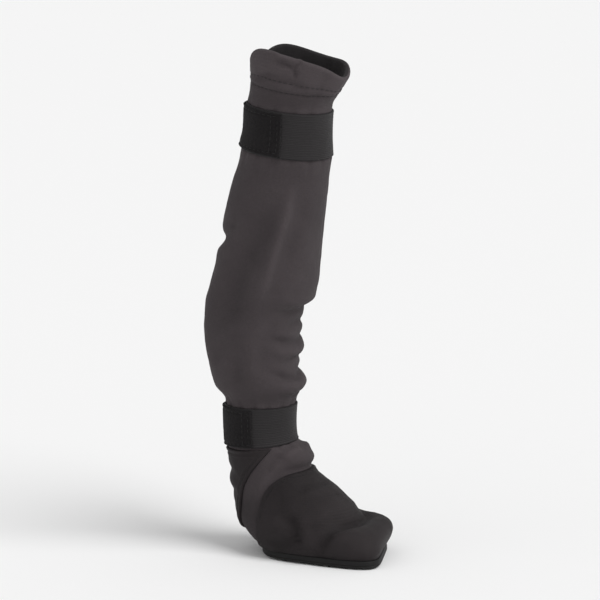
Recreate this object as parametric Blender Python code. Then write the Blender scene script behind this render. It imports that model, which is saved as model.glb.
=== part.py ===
"""A long dog sock: a stretch sleeve that covers the paw and the lower leg, with a hard-wearing foot.

The sleeve is one hollow wall from the sole up to a flared collar. A woven vamp covers the front of its
foot and a counter the heel, and between the two a slanting gore of the sleeve shows. An elastic strap
closes it round the ankle and another below the collar, each with a fastener tab round the back.

Frame: metres, +Z up, the toe towards +X, the floor at Z = 0 and the origin under the middle of the
sole. The tables and sizes below are in millimetres, and their x runs forward from the back of the heel.
"""

import math
from collections import namedtuple

import bmesh
import bpy
from mathutils import Vector

MM = 0.001

# Driving sizes, mm
HEEL_TO_ORIGIN = 43.0  # half of the foot's length
SLEEVE_WALL = 1.8
HEM_WALL = 2.6  # the collar's edge is turned in and sewn
HEM_DEPTH = 11.0
HEM_FADE = 2.0  # length of the step where the turned edge ends
PANEL_WALL = 1.3  # woven vamp and counter
STRAP_WALL = 1.2
TAB_WALL = 1.1
GAP = 0.3  # between one layer and the next
SOLE_THICKNESS = 3.0
SOLE_WELT = 0.8  # how far the sole stands out past the panels above it
SOLE_ROUND = 0.9
INSOLE_THICKNESS = 1.5
INSOLE_ROUND = 0.3
TOE_SKEW = 0.28  # how far the toe's right corner leads its left, as a share of y
SKEW_START, SKEW_RUN = 55.0, 25.0  # the x where that begins, and how far on it is whole
SKEW_TOP = 22.0  # the height where it has faded out
HEEL_CURL, CURL_START = 11.0, 20.0  # how far the foot lifts at the back, and the x where that begins
RIM_WAVE, RIM_WAVES, RIM_TURN = 1.2, 3, 1.0  # rise of the stretched rim's waves, their count and place
RIM_SIDES = 8.0  # how much higher the rim is at the sides of the leg
RIM_LEAN = 0.2  # share by which that is more on the right and less on the left
RIM_DIP = 6  # an even power, more for narrower dips at the front and back

# Faceting
SEGMENTS = 36  # points round a ring of the sleeve
RING_STEP = 14.0  # greatest height between rings, mm
SHARP_ANGLE = math.radians(50)  # edges that turn more than this are shown sharp
CHORD_ERROR = 0.42  # farthest that a facet of the sleeve may lie from its true surface between rings
LEAST_ROW_STEP = 0.05  # a layer's end row this close to a row of the sleeve stands in for it
TAB_STEPS = 18  # facets round a tab
PAD_STEPS = 24  # slices from a pad's heel to its toe
PAD_END_TURN = 0.12  # the angle, from straight back or ahead, where those slices end

# One row for each section of the sleeve's outer surface, from the sole's edge to the rim. A section is
# a closed ring through a point on the back profile and one on the front profile. heel_square and
# toe_square are superellipse powers, 2 for a plain oval, and ball is how much wider the ring is
# towards the toe than towards the heel.
Section = namedtuple(
    "Section", "name back_x back_z front_x front_z half_width heel_square toe_square ball"
)
SECTIONS = (
    Section("sole edge", 20.4, 3.3, 79.0, 3.3, 23.2, 2.3, 5.6, 0.10),
    Section("foot wall", 12.2, 7.2, 81.4, 7.8, 25.2, 2.2, 4.8, 0.10),
    Section("toe wall", 6.6, 12.0, 82.2, 12.0, 25.6, 2.2, 3.7, 0.10),
    Section("toe brow", 4.0, 17.5, 79.8, 15.8, 24.8, 2.2, 3.2, 0.10),
    Section("toe top", 3.0, 23.0, 68.6, 17.6, 22.8, 2.1, 2.6, 0.08),
    Section("low vamp", 2.2, 28.0, 62.0, 24.2, 20.8, 2.1, 2.3, 0.06),
    Section("vamp", 1.4, 33.0, 55.2, 30.8, 19.4, 2.1, 2.2, 0.04),
    Section("high vamp", 0.7, 38.0, 48.2, 35.8, 18.2, 2.1, 2.2, 0.02),
    Section("throat", 0.1, 43.0, 42.8, 40.8, 17.2, 2.1, 2.1, 0.0),
    Section("instep", -0.4, 47.5, 40.6, 47.6, 16.8, 2.1, 2.1, 0.0),
    Section("under ankle strap", -0.6, 52.5, 32.4, 55.0, 15.8, 2.1, 2.1, 0.0),
    Section("ankle strap", -1.2, 63.5, 31.4, 65.0, 15.4, 2.1, 2.1, 0.0),
    Section("over ankle strap", -1.6, 75.0, 31.8, 75.5, 16.2, 2.1, 2.1, 0.0),
    Section("pastern", -7.4, 84.0, 35.8, 85.0, 20.2, 2.1, 2.1, 0.0),
    Section("wrist pad", -11.2, 97.0, 34.6, 96.0, 21.8, 2.1, 2.1, 0.0),
    Section("low wrist", -13.2, 110.5, 35.0, 109.0, 22.6, 2.1, 2.1, 0.0),
    Section("wrist", -12.2, 126.0, 37.0, 122.0, 23.4, 2.1, 2.1, 0.0),
    Section("over wrist", -7.4, 145.0, 43.4, 140.0, 24.0, 2.1, 2.1, 0.0),
    Section("shin", -3.0, 163.0, 46.6, 160.0, 23.4, 2.1, 2.1, 0.0),
    Section("high shin", 0.2, 181.0, 48.8, 177.5, 22.4, 2.1, 2.1, 0.0),
    Section("under top strap", 7.4, 203.5, 50.6, 199.5, 20.2, 2.1, 2.1, 0.0),
    Section("top strap", 10.4, 215.0, 50.2, 211.0, 19.6, 2.1, 2.1, 0.0),
    Section("over top strap", 11.0, 228.0, 50.8, 223.5, 20.0, 2.1, 2.1, 0.0),
    Section("collar", 11.6, 238.5, 55.4, 232.0, 21.6, 2.1, 2.1, 0.0),
    Section("rim", 12.2, 248.0, 61.2, 240.0, 23.2, 2.1, 2.1, 0.0),
)
ROW = {section.name: index for index, section in enumerate(SECTIONS)}
LAST_ROW = len(SECTIONS) - 1

# One row for each large fold: the height of its crest, the angle that it faces (0 is the toe, 90 the
# left side, 180 the heel), how far round it fades out, its reach below and above, and how far it
# stands out, negative for a crease.
Fold = namedtuple("Fold", "name height facing spread below above out")
FOLDS = (
    Fold("ankle puff", 52.0, 0, 75, 5.0, 2.6, 4.8),
    Fold("pastern pleat", 85.5, 0, 80, 6.0, 5.0, 1.8),
    Fold("pastern crease", 95.0, 0, 70, 5.0, 5.0, -1.4),
    Fold("wrist pleat", 103.0, 5, 65, 6.0, 6.5, 1.1),
    Fold("wrist crease", 120.0, 0, 75, 6.0, 4.5, -0.9),
    Fold("shin lip", 129.5, 0, 80, 3.5, 14.0, 2.6),
    Fold("side ridge", 150.0, 290, 26, 24.0, 26.0, 1.3),
    Fold("side hollow", 136.0, 248, 30, 26.0, 26.0, -1.3),
    Fold("back crease", 157.5, 180, 60, 5.0, 4.0, -2.0),
    Fold("back roll", 166.0, 180, 70, 5.0, 12.0, 0.9),
    Fold("heel pad roll", 84.0, 180, 80, 5.0, 8.0, 1.0),
)

# The gore in side view, a row for each height: where the vamp ends in front of it and the counter
# behind it
GoreEdge = namedtuple("GoreEdge", "height vamp_x counter_x")
GORE = (
    GoreEdge(4.0, 22.0, 12.0),
    GoreEdge(16.0, 21.4, 10.2),
    GoreEdge(26.0, 22.6, 10.8),
    GoreEdge(34.0, 25.6, 12.8),
    GoreEdge(39.0, 30.0, 15.2),
    GoreEdge(42.2, 36.5, 17.2),
    GoreEdge(43.6, 45.0, 18.2),
    GoreEdge(56.0, 80.0, 28.0),
)
PANEL_ROWS = (0.35, ROW["under ankle strap"] - 0.12)  # just above the sole, just below the strap
CUT_STEPS = 18  # straight pieces along each edge of the gore
CUTTER_REACH = 60.0  # past the foot on every side

# Straps and tabs: the rows of their two edges, and where each tab begins and ends, in degrees
ANKLE_ROWS = (ROW["under ankle strap"] + 0.06, ROW["over ankle strap"] - 0.06)
TOP_ROWS = (ROW["under top strap"] + 0.06, ROW["over top strap"] - 0.03)
TAB_TURNS = {"ankle": (95.0, 276.0), "top": (92.0, 281.0)}
TAB_INSET = 0.5  # a tab is a little narrower than its strap


def ease(x):
    """0 below 0, 1 above 1, and a smooth step between."""
    x = min(max(x, 0.0), 1.0)
    return x * x * (3 - 2 * x)


def power(value, exponent):
    return math.copysign(abs(value) ** exponent, value)


def curve(values, t):
    """The value at place t along a smooth curve through evenly placed values, with no overshoot."""
    i = min(int(t), len(values) - 2)
    part = t - i

    def slope(k):
        before = values[k] - values[k - 1] if k > 0 else values[k + 1] - values[k]
        after = values[k + 1] - values[k] if k < len(values) - 1 else before
        return 0.0 if before * after <= 0 else 2 * before * after / (before + after)

    start, end = slope(i), slope(i + 1)
    rise = values[i + 1] - values[i]
    bend = 3 * rise - 2 * start - end
    return values[i] + part * (start + part * (bend + part * (start + end - 2 * rise)))


COLUMNS = {
    field: [getattr(section, field) for section in SECTIONS]
    for field in Section._fields
    if field != "name"
}


def sole_lift(x):
    """How far the heel's curl lifts the sole at x."""
    return HEEL_CURL * (max(CURL_START - x, 0.0) / CURL_START) ** 2


def fold_out(height, angle):
    """How far the folds push the sleeve out at this height and angle."""
    out = 0.0
    for fold in FOLDS:
        turn = abs((math.degrees(angle) - fold.facing + 180) % 360 - 180)
        reach = fold.above if height > fold.height else fold.below
        away = (height - fold.height) / reach
        if turn < fold.spread:
            out += fold.out * math.exp(-away * away) * math.cos(math.pi / 2 * turn / fold.spread) ** 2
    return out


def skin(t, angle):
    """The sleeve's outer surface at row t, at an angle round the leg that starts at the toe."""
    row = {field: curve(values, t) for field, values in COLUMNS.items()}
    forward, left = math.cos(angle), math.sin(angle)
    square = row["heel_square"] + (row["toe_square"] - row["heel_square"]) * (0.5 + 0.5 * forward)
    along = 0.5 + 0.5 * power(forward, 2 / square)
    across = power(left, 2 / square) * (1 + row["ball"] * (2 * along - 1))
    length, half_width = row["front_x"] - row["back_x"], row["half_width"]
    x = row["back_x"] + length * along
    z = row["back_z"] + (row["front_z"] - row["back_z"]) * along
    z += sole_lift(x) * (1 - ease(t / ROW["vamp"]))
    sides = RIM_SIDES * (1 - RIM_LEAN * left) * (1 - forward**RIM_DIP)
    z += ease(t - LAST_ROW + 1) * (RIM_WAVE * math.sin(RIM_WAVES * angle + RIM_TURN) + sides)
    y = half_width * across
    x -= TOE_SKEW * y * ease((x - SKEW_START) / SKEW_RUN) * (1 - ease(z / SKEW_TOP))
    out = Vector(((2 * along - 1) / length, across / (2 * half_width))).normalized()
    out *= fold_out(z, angle)
    return Vector((x + out.x, y + out.y, z))


def normal(t, angle):
    """The outward direction of the sleeve's outer surface."""
    step = 0.04
    round_leg = skin(t, angle + step) - skin(t, angle - step)
    up = skin(min(t + step, LAST_ROW), angle) - skin(max(t - step, 0.0), angle)
    return round_leg.cross(up).normalized()


def layer(t, angle, out):
    """A point at a distance out from the sleeve's outer surface; negative is inside."""
    return skin(t, angle) + normal(t, angle) * out


def spaced(start, end, count):
    """count + 1 values from start to end."""
    return [start + (end - start) * i / count for i in range(count + 1)]


def rows_between(start, end):
    """Row values from start to end, close enough that the facets between rings follow the surface."""
    middle = (start + end) / 2
    for angle in spaced(0.0, 2 * math.pi, 12)[:-1]:
        low, high = skin(start, angle), skin(end, angle)
        off = abs((skin(middle, angle) - (low + high) / 2).dot(normal(middle, angle)))
        if off > CHORD_ERROR or (high - low).length > RING_STEP:
            return rows_between(start, middle) + rows_between(middle, end)[1:]
    return [start, end]


SLEEVE_ROWS = [0.0]
for section_row in range(LAST_ROW):
    SLEEVE_ROWS += rows_between(section_row, section_row + 1)[1:]


def sleeve_rows(start, end):
    """The sleeve's own rows between start and end, so that a layer's facets lie along the sleeve's."""
    return [start] + [t for t in SLEEVE_ROWS if start + LEAST_ROW_STEP < t < end - LEAST_ROW_STEP] + [end]


def angles_round():
    return [2 * math.pi * i / SEGMENTS for i in range(SEGMENTS)]


# Shapes


def edges_of(ring):
    """The edges of a closed ring of vertices, in order."""
    pairs = zip(ring, ring[1:] + ring[:1])
    return [next(edge for edge in a.link_edges if b in edge.verts) for a, b in pairs]


def place(ring, points):
    for vert, point in zip(ring, points):
        vert.co = (point - Vector((HEEL_TO_ORIGIN, 0, 0))) * MM


def loft(name, rings, closed, material):
    """A solid skinned through rings of points, all with the same number of points.

    closed joins the last ring to the first, as in a hollow wall; otherwise both ends are capped.
    """
    mesh = bmesh.new()
    first = bmesh.ops.create_circle(mesh, segments=len(rings[0]), radius=1.0)["verts"]
    place(first, rings[0])
    ring = first
    for points in rings[1:] + (rings[:1] if closed else []):
        made = bmesh.ops.extrude_edge_only(mesh, edges=edges_of(ring))["geom"]
        fresh = {item for item in made if isinstance(item, bmesh.types.BMVert)}
        ring = [
            next(edge.other_vert(vert) for edge in vert.link_edges if edge.other_vert(vert) in fresh)
            for vert in ring
        ]
        place(ring, points)
    if closed:
        bmesh.ops.remove_doubles(mesh, verts=first + ring, dist=1e-7)
    else:
        bmesh.ops.contextual_create(mesh, geom=edges_of(first))
        bmesh.ops.contextual_create(mesh, geom=edges_of(ring))
    bmesh.ops.recalc_face_normals(mesh, faces=mesh.faces)
    data = bpy.data.meshes.new(name)
    mesh.to_mesh(data)
    mesh.free()
    data.shade_smooth()
    data.set_sharp_from_angle(angle=SHARP_ANGLE)
    data.materials.append(material)
    obj = bpy.data.objects.new(name, data)
    bpy.context.scene.collection.objects.link(obj)
    return obj


def shell(name, inner, outer, rows, turns_at, material):
    """A panel between two distances from the sleeve, with turns_at(t) its angles at each row."""
    rings = []
    for t in rows:
        turns = turns_at(t)
        inside = [layer(t, a, inner) for a in turns]
        outside = [layer(t, a, outer) for a in reversed(turns)]
        rings.append(inside + outside)
    loft(name, rings, False, material)


def band(name, inner, outer, rows, material):
    """A closed band round the leg between two distances from the sleeve."""
    inside = [[layer(t, a, inner) for a in angles_round()] for t in rows]
    outside = [[layer(t, a, outer) for a in angles_round()] for t in reversed(rows)]
    return loft(name, inside + outside, True, material)


def keep_within(obj, side_outline):
    """Keeps only what of obj lies inside an outline in side view, a list of (x, height)."""
    mesh = bmesh.new()
    near = [mesh.verts.new() for _ in side_outline]
    place(near, [Vector((x, -CUTTER_REACH, height)) for x, height in side_outline])
    made = bmesh.ops.extrude_face_region(mesh, geom=[mesh.faces.new(near)])["geom"]
    far = [item for item in made if isinstance(item, bmesh.types.BMVert)]
    bmesh.ops.translate(mesh, vec=(0, 2 * CUTTER_REACH * MM, 0), verts=far)
    bmesh.ops.recalc_face_normals(mesh, faces=mesh.faces)
    data = bpy.data.meshes.new(obj.name + "_outline")
    mesh.to_mesh(data)
    mesh.free()
    prism = bpy.data.objects.new(data.name, data)
    prism.hide_render = True
    prism.display_type = "WIRE"
    bpy.context.scene.collection.objects.link(prism)
    cut = obj.modifiers.new("outline", "BOOLEAN")
    cut.operation = "INTERSECT"
    cut.object = prism


def finish(name, colour, roughness):
    """A plain Principled material."""
    material = bpy.data.materials.new(name)
    material.use_nodes = True
    shader = material.node_tree.nodes["Principled BSDF"]
    shader.inputs["Base Color"].default_value = (*colour, 1.0)
    shader.inputs["Roughness"].default_value = roughness
    shader.inputs["Metallic"].default_value = 0.0
    return material


# Pieces


def make_sleeve(material):
    """The upper: one hollow wall, open at the collar and under the foot, thicker at the turned hem."""

    def wall(t):
        down = (skin(LAST_ROW, math.pi) - skin(t, math.pi)).length
        return SLEEVE_WALL + (HEM_WALL - SLEEVE_WALL) * (1 - ease((down - HEM_DEPTH) / HEM_FADE + 0.5))

    outside = [[skin(t, a) for a in angles_round()] for t in SLEEVE_ROWS]
    inside = [[layer(t, a, -wall(t)) for a in angles_round()] for t in reversed(SLEEVE_ROWS)]
    loft("sleeve_upper", outside + inside, True, material)


def gore_edge(field):
    """Points (x, height) up one edge of the gore."""
    places = spaced(0, len(GORE) - 1, CUT_STEPS)
    return [
        (curve([getattr(row, field) for row in GORE], t), curve([row.height for row in GORE], t))
        for t in places
    ]


def make_panel(name, edge_field, beyond_x, material):
    """A woven panel of the foot, from one edge of the gore to beyond_x."""
    panel = band(name, GAP, GAP + PANEL_WALL, sleeve_rows(*PANEL_ROWS), material)
    edge = gore_edge(edge_field)
    foot, head = edge[0], edge[-1]
    below = [(beyond_x, -CUTTER_REACH), (foot[0], -CUTTER_REACH)]
    keep_within(panel, edge + [(head[0], CUTTER_REACH), (beyond_x, CUTTER_REACH)] + below)


def make_strap(place_name, rows, elastic, pile):
    """A closed elastic band, and the fastener tab that lies on it round the back of the leg."""
    strap_top = GAP + STRAP_WALL
    band(place_name + "_strap", GAP, strap_top, sleeve_rows(*rows), elastic)
    low, high = rows
    trim = TAB_INSET / (skin(high, math.pi) - skin(low, math.pi)).length * (high - low)
    start, end = (math.radians(turn) for turn in TAB_TURNS[place_name])
    tab_rows = sleeve_rows(low + trim, high - trim)
    inner, outer = strap_top + GAP, strap_top + GAP + TAB_WALL
    shell(place_name + "_tab", inner, outer, tab_rows, lambda t: spaced(start, end, TAB_STEPS), pile)


def make_pad(name, out, base, thickness, rounding, material):
    """A pad with the sleeve's outline moved out by out, which follows the sole's lift."""

    def edge(angle):
        """The pad's edge at one angle, as four points from its underside up to its top."""
        point, away = skin(0.0, angle), normal(0.0, angle)
        x, y, _ = point + Vector((away.x, away.y, 0)).normalized() * out
        low = base + sole_lift(point.x)
        side = min(rounding, abs(y) / 2)
        inner = y - math.copysign(side, y)
        levels = (inner, low), (y, low + side), (y, low + thickness - side), (inner, low + thickness)
        return [Vector((x, across, height)) for across, height in levels]

    turns = spaced(math.pi - PAD_END_TURN, PAD_END_TURN, PAD_STEPS)
    loft(name, [edge(-turn) + edge(turn)[::-1] for turn in turns], False, material)


def main():
    for obj in list(bpy.data.objects):
        bpy.data.objects.remove(obj)
    knit = finish("charcoal_knit", (0.056, 0.049, 0.051), 0.85)
    woven = finish("black_woven", (0.026, 0.023, 0.024), 0.75)
    elastic = finish("black_elastic", (0.031, 0.028, 0.029), 0.7)
    pile = finish("black_pile", (0.016, 0.014, 0.015), 0.95)
    rubber = finish("black_rubber", (0.02, 0.02, 0.02), 0.6)
    lining = finish("footbed_lining", (0.05, 0.047, 0.048), 0.9)

    make_sleeve(knit)
    make_panel("vamp", "vamp_x", 2 * HEEL_TO_ORIGIN + CUTTER_REACH, woven)
    make_panel("heel_counter", "counter_x", -CUTTER_REACH, woven)
    sole_out = GAP + PANEL_WALL + SOLE_WELT
    make_pad("sole", sole_out, 0.0, SOLE_THICKNESS, SOLE_ROUND, rubber)
    insole_out = -SLEEVE_WALL - 2 * GAP
    make_pad("insole", insole_out, SOLE_THICKNESS + GAP, INSOLE_THICKNESS, INSOLE_ROUND, lining)
    make_strap("ankle", ANKLE_ROWS, elastic, pile)
    make_strap("top", TOP_ROWS, elastic, pile)


main()
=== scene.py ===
"""A long dog sock, dressed: knitted sleeve, woven foot, elastic straps, fastener tabs and rubber sole.

Sizes are in millimetres, and x runs forward from the back of the heel, as in the construction that
the frame holds. A place on the leg is a row t of the table of sections and an angle or a turn round
the leg: 0 is the toe, 90 the left side, 180 the heel and 270 the right side.
"""

import math
from collections import namedtuple
from functools import lru_cache, partial

import bmesh
import bpy
from mathutils import Matrix, Vector, kdtree, noise


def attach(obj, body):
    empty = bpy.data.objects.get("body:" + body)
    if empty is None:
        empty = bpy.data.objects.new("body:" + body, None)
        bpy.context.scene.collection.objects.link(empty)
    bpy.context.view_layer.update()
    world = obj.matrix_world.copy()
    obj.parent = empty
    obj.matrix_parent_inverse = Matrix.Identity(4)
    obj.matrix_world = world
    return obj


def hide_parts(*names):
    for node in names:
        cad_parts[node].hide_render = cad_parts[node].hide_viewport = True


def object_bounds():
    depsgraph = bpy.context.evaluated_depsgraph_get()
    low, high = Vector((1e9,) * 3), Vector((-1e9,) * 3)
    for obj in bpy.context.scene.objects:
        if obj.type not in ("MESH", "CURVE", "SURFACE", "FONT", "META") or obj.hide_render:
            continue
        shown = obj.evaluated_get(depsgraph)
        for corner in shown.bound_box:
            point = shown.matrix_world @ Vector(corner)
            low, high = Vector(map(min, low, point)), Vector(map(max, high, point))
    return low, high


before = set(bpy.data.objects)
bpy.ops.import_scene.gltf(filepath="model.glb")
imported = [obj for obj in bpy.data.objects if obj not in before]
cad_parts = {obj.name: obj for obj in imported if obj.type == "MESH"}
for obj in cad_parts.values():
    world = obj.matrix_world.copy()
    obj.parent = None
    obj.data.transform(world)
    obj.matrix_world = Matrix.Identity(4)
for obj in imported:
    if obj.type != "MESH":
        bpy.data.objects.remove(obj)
cad_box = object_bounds()
scene = bpy.context.scene

# --- Studio ---
# A pale floor that fills the view, one broad soft light from the toe's side, a weaker one opposite, and
# air that lights the sock less than it shows, so that it meets the floor with no line. The camera is at
# the height of a tall dog's back, ahead of its side.

VIEW_TURN = math.radians(22)  # from square on, towards the toe
VIEW_DISTANCE, VIEW_HEIGHT = 1.9, 0.5  # metres
FRAME_FILLED = 0.86  # share of the frame's height that the sock takes
PALE = (0.93, 0.93, 0.93, 1.0)
LIT_AIR, SEEN_AIR = 0.53, 0.97  # how bright the air is to the sock, and to the camera
FLOOR_HALF, FLOOR_BELOW = 12.0, 0.0001  # metres

low, high = cad_box
middle = (low + high) / 2
back_off = Vector((math.sin(VIEW_TURN), -math.cos(VIEW_TURN), 0)) * VIEW_DISTANCE
camera = bpy.data.objects.new("camera", bpy.data.cameras.new("camera"))
camera.location = Vector((middle.x, middle.y, VIEW_HEIGHT)) + back_off
line_of_sight = middle - camera.location
camera.rotation_mode = "QUATERNION"
camera.rotation_quaternion = line_of_sight.to_track_quat("-Z", "Y")
camera.data.lens = camera.data.sensor_width * line_of_sight.length * FRAME_FILLED / (high.z - low.z)
scene.collection.objects.link(camera)
scene.camera = camera
scene.view_settings.view_transform = "Standard"


def soft_light(name, turn, climb, softness, strength):
    """Broad even light from a turn round the sock, 0 being over the camera, and a climb above level."""
    light = bpy.data.lights.new(name, "SUN")
    light.energy, light.angle = strength, math.radians(softness)
    source = bpy.data.objects.new(name, light)
    angle, climb = VIEW_TURN + math.radians(turn), math.radians(climb)
    level = Vector((math.sin(angle), -math.cos(angle), 0)) * math.cos(climb)
    towards = level + Vector((0, 0, math.sin(climb)))
    source.rotation_mode = "QUATERNION"
    source.rotation_quaternion = towards.to_track_quat("Z", "Y")
    scene.collection.objects.link(source)


soft_light("key_light", turn=56, climb=50, softness=36, strength=1.9)
soft_light("fill_light", turn=-50, climb=35, softness=70, strength=0.25)


def node(tree, kind, sources=(), **settings):
    """Adds a node, sets its properties, and links or sets its inputs, which are named or numbered."""
    made = tree.nodes.new("ShaderNode" + kind)
    for name, value in settings.items():
        setattr(made, name, value)
    for key, source in dict(sources).items():
        if isinstance(source, bpy.types.NodeSocket):
            tree.links.new(source, made.inputs[key])
        else:
            made.inputs[key].default_value = source
    return made


air = bpy.data.worlds.new("pale_air")
air.use_nodes = True
lit_air = air.node_tree.nodes["Background"]
lit_air.inputs["Color"].default_value = PALE
lit_air.inputs["Strength"].default_value = LIT_AIR
seen_air = node(air.node_tree, "Background", {"Color": PALE, "Strength": SEEN_AIR})
from_camera = node(air.node_tree, "LightPath").outputs["Is Camera Ray"]
either = node(air.node_tree, "MixShader", {0: from_camera, 1: lit_air.outputs[0], 2: seen_air.outputs[0]})
air.node_tree.links.new(either.outputs[0], air.node_tree.nodes["World Output"].inputs["Surface"])
scene.world = air

ground = bmesh.new()
bmesh.ops.create_grid(ground, x_segments=1, y_segments=1, size=FLOOR_HALF)
bmesh.ops.translate(ground, vec=(0, 0, low.z - FLOOR_BELOW), verts=ground.verts)
floor = bpy.data.objects.new("floor", bpy.data.meshes.new("floor"))
ground.to_mesh(floor.data)
ground.free()


def new_material(name, roughness, specular=0.5):
    material = bpy.data.materials.new(name)
    material.use_nodes = True
    shader = material.node_tree.nodes["Principled BSDF"]
    shader.inputs["Roughness"].default_value = roughness
    shader.inputs["Specular IOR Level"].default_value = specular
    return material, material.node_tree, shader


paper, _, shader = new_material("studio_paper", roughness=0.9)
shader.inputs["Base Color"].default_value = PALE
floor.data.materials.append(paper)
scene.collection.objects.link(floor)

# --- Knitted sleeve ---
# One tube of brushed stretch knit from the foot to the collar, seamed down the back and turned in and
# twin-needled at its top edge. It slides down a little in wear, so it puckers at the front of the
# wrist, swells over the straps and hangs in long soft folds above.

MM = 0.001
HEEL_TO_ORIGIN = 43.0
SLEEVE_WALL, HEM_WALL = 1.8, 2.6
TOE_SKEW, SKEW_START, SKEW_RUN, SKEW_TOP = 0.28, 55.0, 25.0, 22.0  # a share of y, its x and its height
HEEL_CURL, CURL_START = 11.0, 20.0
RIM_WAVE, RIM_WAVES, RIM_TURN = 1.2, 3, 1.0
RIM_SIDES, RIM_LEAN, RIM_DIP = 8.0, 0.2, 6  # the collar's sides stand above its front and back

# Rows up the leg: where each crosses the back and the front of the leg, half its width, how square its
# ends are, and how much wider it is towards the toe
Section = namedtuple(
    "Section",
    "name back_x back_z front_x front_z half_width heel_square toe_square ball",
    defaults=(2.1, 2.1, 0),
)
SECTIONS = [Section(*row) for row in (
    ("sole edge", 20.4, 3.3, 79, 3.3, 23.2, 2.3, 5.6, 0.10),
    ("foot wall", 12.2, 7.2, 81.4, 7.8, 25.2, 2.2, 4.8, 0.10),
    ("toe wall", 6.6, 12, 82.2, 12, 25.6, 2.2, 3.7, 0.10),
    ("toe brow", 4, 17.5, 79.8, 15.8, 24.8, 2.2, 3.2, 0.10),
    ("toe top", 3, 23, 68.6, 17.6, 22.8, 2.1, 2.6, 0.08),
    ("low vamp", 2.2, 28, 62, 24.2, 20.8, 2.1, 2.3, 0.06),
    ("vamp", 1.4, 33, 55.2, 30.8, 19.4, 2.1, 2.2, 0.04),
    ("high vamp", 0.7, 38, 48.2, 35.8, 18.2, 2.1, 2.2, 0.02),
    ("throat", 0.1, 43, 42.8, 40.8, 17.2),
    ("instep", -0.4, 47.5, 40.6, 47.6, 16.8),
    ("under ankle strap", -0.6, 52.5, 32.4, 55, 15.8),
    ("ankle strap", -1.2, 63.5, 31.4, 65, 15.4),
    ("over ankle strap", -1.6, 75, 31.8, 75.5, 16.2),
    ("pastern", -7.4, 84, 35.8, 85, 20.2),
    ("wrist pad", -11.2, 97, 34.6, 96, 21.8),
    ("low wrist", -13.2, 110.5, 35, 109, 22.6),
    ("wrist", -12.2, 126, 37, 122, 23.4),
    ("over wrist", -7.4, 145, 43.4, 140, 24),
    ("shin", -3, 163, 46.6, 160, 23.4),
    ("high shin", 0.2, 181, 48.8, 177.5, 22.4),
    ("under top strap", 7.4, 203.5, 50.6, 199.5, 20.2),
    ("top strap", 10.4, 215, 50.2, 211, 19.6),
    ("over top strap", 11, 228, 50.8, 223.5, 20),
    ("collar", 11.6, 238.5, 55.4, 232, 21.6),
    ("rim", 12.2, 248, 61.2, 240, 23.2),
)]
ROW = {section.name: index for index, section in enumerate(SECTIONS)}
LAST_ROW = len(SECTIONS) - 1
ANKLE_ROWS = (ROW["under ankle strap"] + 0.06, ROW["over ankle strap"] - 0.06)
TOP_ROWS = (ROW["under top strap"] + 0.06, ROW["over top strap"] - 0.03)

# Large folds: their height, the turn that they face, how far they spread round the leg, how softly they
# fade below and above, and how far they stand out
Fold = namedtuple("Fold", "name height facing spread below above out")
FOLDS = [Fold(*row) for row in (
    ("ankle puff", 52, 0, 75, 5, 2.6, 4.8),
    ("pastern pleat", 85.5, 0, 80, 6, 5, 1.8),
    ("pastern crease", 95, 0, 70, 5, 5, -1.4),
    ("wrist pleat", 103, 5, 65, 6, 6.5, 1.1),
    ("wrist crease", 120, 0, 75, 6, 4.5, -0.9),
    ("shin lip", 129.5, 0, 80, 3.5, 14, 2.6),
    ("side ridge", 150, 290, 26, 24, 26, 1.3),
    ("side hollow", 136, 248, 30, 26, 26, -1.3),
    ("back crease", 157.5, 180, 60, 5, 4, -2),
    ("back roll", 166, 180, 70, 5, 12, 0.9),
    ("heel pad roll", 84, 180, 80, 5, 8, 1),
)]


def ease(x):
    """0 below 0, 1 above 1, and a smooth step between."""
    x = min(max(x, 0.0), 1.0)
    return x * x * (3 - 2 * x)


def power(value, exponent):
    """A power that keeps its value's sign."""
    return math.copysign(abs(value) ** exponent, value)


def curve(values, t):
    """The value at place t along a smooth curve through evenly placed values, with no overshoot."""
    i = min(int(t), len(values) - 2)
    part = t - i

    def slope(k):
        before = values[k] - values[k - 1] if k > 0 else values[k + 1] - values[k]
        after = values[k + 1] - values[k] if k < len(values) - 1 else before
        return 0.0 if before * after <= 0 else 2 * before * after / (before + after)

    start, end = slope(i), slope(i + 1)
    rise = values[i + 1] - values[i]
    bend = 3 * rise - 2 * start - end
    return values[i] + part * (start + part * (bend + part * (start + end - 2 * rise)))


@lru_cache(maxsize=None)
def section_at(t):
    """The section between the table's rows."""
    return Section("", *(curve(column, t) for column in zip(*(row[1:] for row in SECTIONS))))


def fold_out(height, angle):
    """How far the large folds push the sleeve out at this height and angle."""
    out = 0.0
    for fold in FOLDS:
        turn = abs((math.degrees(angle) - fold.facing + 180) % 360 - 180)
        if turn < fold.spread:
            away = (height - fold.height) / (fold.above if height > fold.height else fold.below)
            out += fold.out * math.exp(-away * away) * math.cos(math.pi / 2 * turn / fold.spread) ** 2
    return out


def sole_lift(x):
    """How far the heel's curl lifts the sole at x."""
    return HEEL_CURL * (max(CURL_START - x, 0.0) / CURL_START) ** 2


def toe_skew(x, z):
    """How far the toe's right side leads its left there, as a share of y."""
    return TOE_SKEW * ease((x - SKEW_START) / SKEW_RUN) * (1 - ease(z / SKEW_TOP))


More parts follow.
